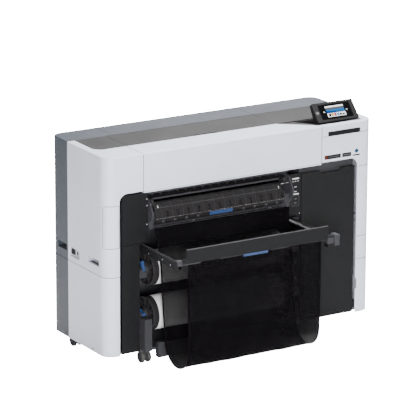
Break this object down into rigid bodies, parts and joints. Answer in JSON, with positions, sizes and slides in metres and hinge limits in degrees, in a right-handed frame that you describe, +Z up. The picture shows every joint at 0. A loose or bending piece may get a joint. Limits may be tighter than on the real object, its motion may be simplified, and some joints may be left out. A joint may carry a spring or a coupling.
{
  "type": "large format plotter",
  "caption": "Floor-standing large format plotter with two paper rolls, a fold-up front cover, a tilting control panel, a slide-in paper basket and swivel casters.",
  "frame": {"origin": "centre of the footprint on the floor", "axes": "+X from the casing's left side to its right side as seen from the front, +Y from the front to the back, +Z up"},
  "size_m": [1.304, 0.766, 0.9879],
  "materials": {
    "white_cover": "fine satin moulded plastic",
    "rear_cover": "satin blue-grey moulded plastic",
    "roof": "fine-textured warm grey plastic",
    "dark_cover": "fine-textured black plastic",
    "black_plastic": "plain black plastic",
    "black_glass": "glossy touch glass",
    "blue_grip": "satin blue plastic",
    "dark_steel": "powder coated sheet steel",
    "bright_steel": "ground steel",
    "paper": "uncoated white roll paper",
    "flange": "moulded dark grey plastic",
    "cloth": "thin black see-through woven cloth",
    "tyre": "black rubber tread",
    "ink_pack": "plain dark pack"
  },
  "bodies": {
    "cabinet": {"base_tray": "dark_steel", "bay_frame": "dark_steel", "engine_chassis": "dark_steel", "platen": "black_plastic", "carriage_rail": "bright_steel", "hinge_pins": "bright_steel", "casing_left_lower": "white_cover", "casing_left_upper": "white_cover", "casing_right_lower": "white_cover", "casing_right_middle": "white_cover", "casing_right_upper": "white_cover", "rear_casing_left": "rear_cover", "rear_casing_right": "rear_cover", "rear_casing_centre": "rear_cover", "rear_panel": "dark_steel", "roof_left": "roof", "roof_right": "roof", "panel_bed": "roof", "column_left_lower": "dark_cover", "column_left_upper": "dark_cover", "column_right": "dark_cover", "side_grips": "white_cover", "port_panel": "white_cover", "power_inlet": "black_plastic", "ink_bay": "black_plastic", "ink_tanks": "ink_pack", "bottom_guard": "black_plastic", "roll_holders": "black_plastic", "basket_rails": "black_plastic", "basket_back_cloth": "cloth"},
    "front_cover": {"cover_shell": "white_cover", "cover_roof": "roof"},
    "small_door": {"left_door": "white_cover"},
    "ink_door": {"ink_cover": "dark_cover"},
    "control_panel": {"panel_housing": "dark_cover", "panel_glass": "black_glass"},
    "panel_button": {"power_button": "dark_cover"},
    "guide_flap": {"paper_guide": "dark_cover", "paper_guide_grip": "blue_grip"},
    "feed": {"feed_roller": "bright_steel"},
    "print_carriage": {"carriage": "black_plastic"},
    "basket": {"basket_arms": "dark_cover", "basket_bar": "dark_cover", "basket_bar_grip": "blue_grip", "basket_bottom_cloth": "cloth", "basket_front_cloth": "cloth"},
    "upper_roll": {"upper_roll_paper": "paper", "upper_roll_adapters": "flange"},
    "upper_lever": {"upper_roll_lever": "blue_grip"},
    "lower_roll": {"lower_roll_paper": "paper", "lower_roll_adapters": "flange"},
    "lower_lever": {"lower_roll_lever": "blue_grip"},
    "swivel_front_left": {"caster_front_left": "black_plastic"},
    "wheels_front_left": {"caster_front_left_wheels": "tyre"},
    "swivel_front_right": {"caster_front_right": "black_plastic"},
    "wheels_front_right": {"caster_front_right_wheels": "tyre"},
    "swivel_rear_left": {"caster_rear_left": "black_plastic"},
    "wheels_rear_left": {"caster_rear_left_wheels": "tyre"},
    "swivel_rear_right": {"caster_rear_right": "black_plastic"},
    "wheels_rear_right": {"caster_rear_right_wheels": "tyre"}
  },
  "joints": [
    {"name": "front_cover_hinge", "type": "hinge", "parent": "cabinet", "child": "front_cover", "pos_m": [0, 0.234, 0.909], "axis": [-1, 0, 0], "range_deg": [0, 60]},
    {"name": "small_door_hinge", "type": "hinge", "parent": "cabinet", "child": "small_door", "pos_m": [-0.5945, -0.0815, 0.618], "axis": [0, 0, 1], "range_deg": [0, 90]},
    {"name": "ink_door_hinge", "type": "hinge", "parent": "cabinet", "child": "ink_door", "pos_m": [0.432, -0.0705, 0.078], "axis": [1, 0, 0], "range_deg": [0, 80]},
    {"name": "control_panel_tilt", "type": "hinge", "parent": "cabinet", "child": "control_panel", "pos_m": [0.501, -0.03024, 0.92021], "axis": [1, 0, 0], "range_deg": [-20, 15]},
    {"name": "power_button_press", "type": "slide", "parent": "control_panel", "child": "panel_button", "axis": [0, 0.749, -0.6626], "range_m": [0, 0.001], "stiffness_N_per_m": 400},
    {"name": "paper_guide_hinge", "type": "hinge", "parent": "cabinet", "child": "guide_flap", "pos_m": [-0.117, -0.075, 0.689], "axis": [-1, 0, 0], "range_deg": [0, 40]},
    {"name": "feed_roller_spin", "type": "hinge", "parent": "cabinet", "child": "feed", "pos_m": [-0.117, 0.125, 0.699], "axis": [1, 0, 0], "continuous": true},
    {"name": "carriage_slide", "type": "slide", "parent": "cabinet", "child": "print_carriage", "axis": [-1, 0, 0], "range_m": [0, 0.533]},
    {"name": "basket_slide", "type": "slide", "parent": "cabinet", "child": "basket", "axis": [0, 1, 0], "range_m": [0, 0.15], "deforming": ["basket_bottom_cloth"]},
    {"name": "upper_roll_spin", "type": "hinge", "parent": "cabinet", "child": "upper_roll", "pos_m": [-0.117, -0.054, 0.413], "axis": [1, 0, 0], "continuous": true},
    {"name": "upper_lever_hinge", "type": "hinge", "parent": "cabinet", "child": "upper_lever", "pos_m": [-0.481, -0.09, 0.423], "axis": [1, 0, 0], "range_deg": [0, 75]},
    {"name": "lower_roll_spin", "type": "hinge", "parent": "cabinet", "child": "lower_roll", "pos_m": [-0.117, -0.054, 0.218], "axis": [1, 0, 0], "continuous": true},
    {"name": "lower_lever_hinge", "type": "hinge", "parent": "cabinet", "child": "lower_lever", "pos_m": [-0.481, -0.09, 0.228], "axis": [1, 0, 0], "range_deg": [0, 75]},
    {"name": "front_left_swivel", "type": "hinge", "parent": "cabinet", "child": "swivel_front_left", "pos_m": [-0.446, -0.023, 0.055], "axis": [0, 0, 1], "continuous": true},
    {"name": "front_left_wheel_spin", "type": "hinge", "parent": "swivel_front_left", "child": "wheels_front_left", "pos_m": [-0.446, -0.039, 0.025], "axis": [1, 0, 0], "continuous": true},
    {"name": "front_right_swivel", "type": "hinge", "parent": "cabinet", "child": "swivel_front_right", "pos_m": [0.251, -0.023, 0.055], "axis": [0, 0, 1], "continuous": true},
    {"name": "front_right_wheel_spin", "type": "hinge", "parent": "swivel_front_right", "child": "wheels_front_right", "pos_m": [0.251, -0.039, 0.025], "axis": [1, 0, 0], "continuous": true},
    {"name": "rear_left_swivel", "type": "hinge", "parent": "cabinet", "child": "swivel_rear_left", "pos_m": [-0.586, 0.309, 0.055], "axis": [0, 0, 1], "continuous": true},
    {"name": "rear_left_wheel_spin", "type": "hinge", "parent": "swivel_rear_left", "child": "wheels_rear_left", "pos_m": [-0.586, 0.293, 0.025], "axis": [1, 0, 0], "continuous": true},
    {"name": "rear_right_swivel", "type": "hinge", "parent": "cabinet", "child": "swivel_rear_right", "pos_m": [0.586, 0.309, 0.055], "axis": [0, 0, 1], "continuous": true},
    {"name": "rear_right_wheel_spin", "type": "hinge", "parent": "swivel_rear_right", "child": "wheels_rear_right", "pos_m": [0.586, 0.293, 0.025], "axis": [1, 0, 0], "continuous": true}
  ]
}
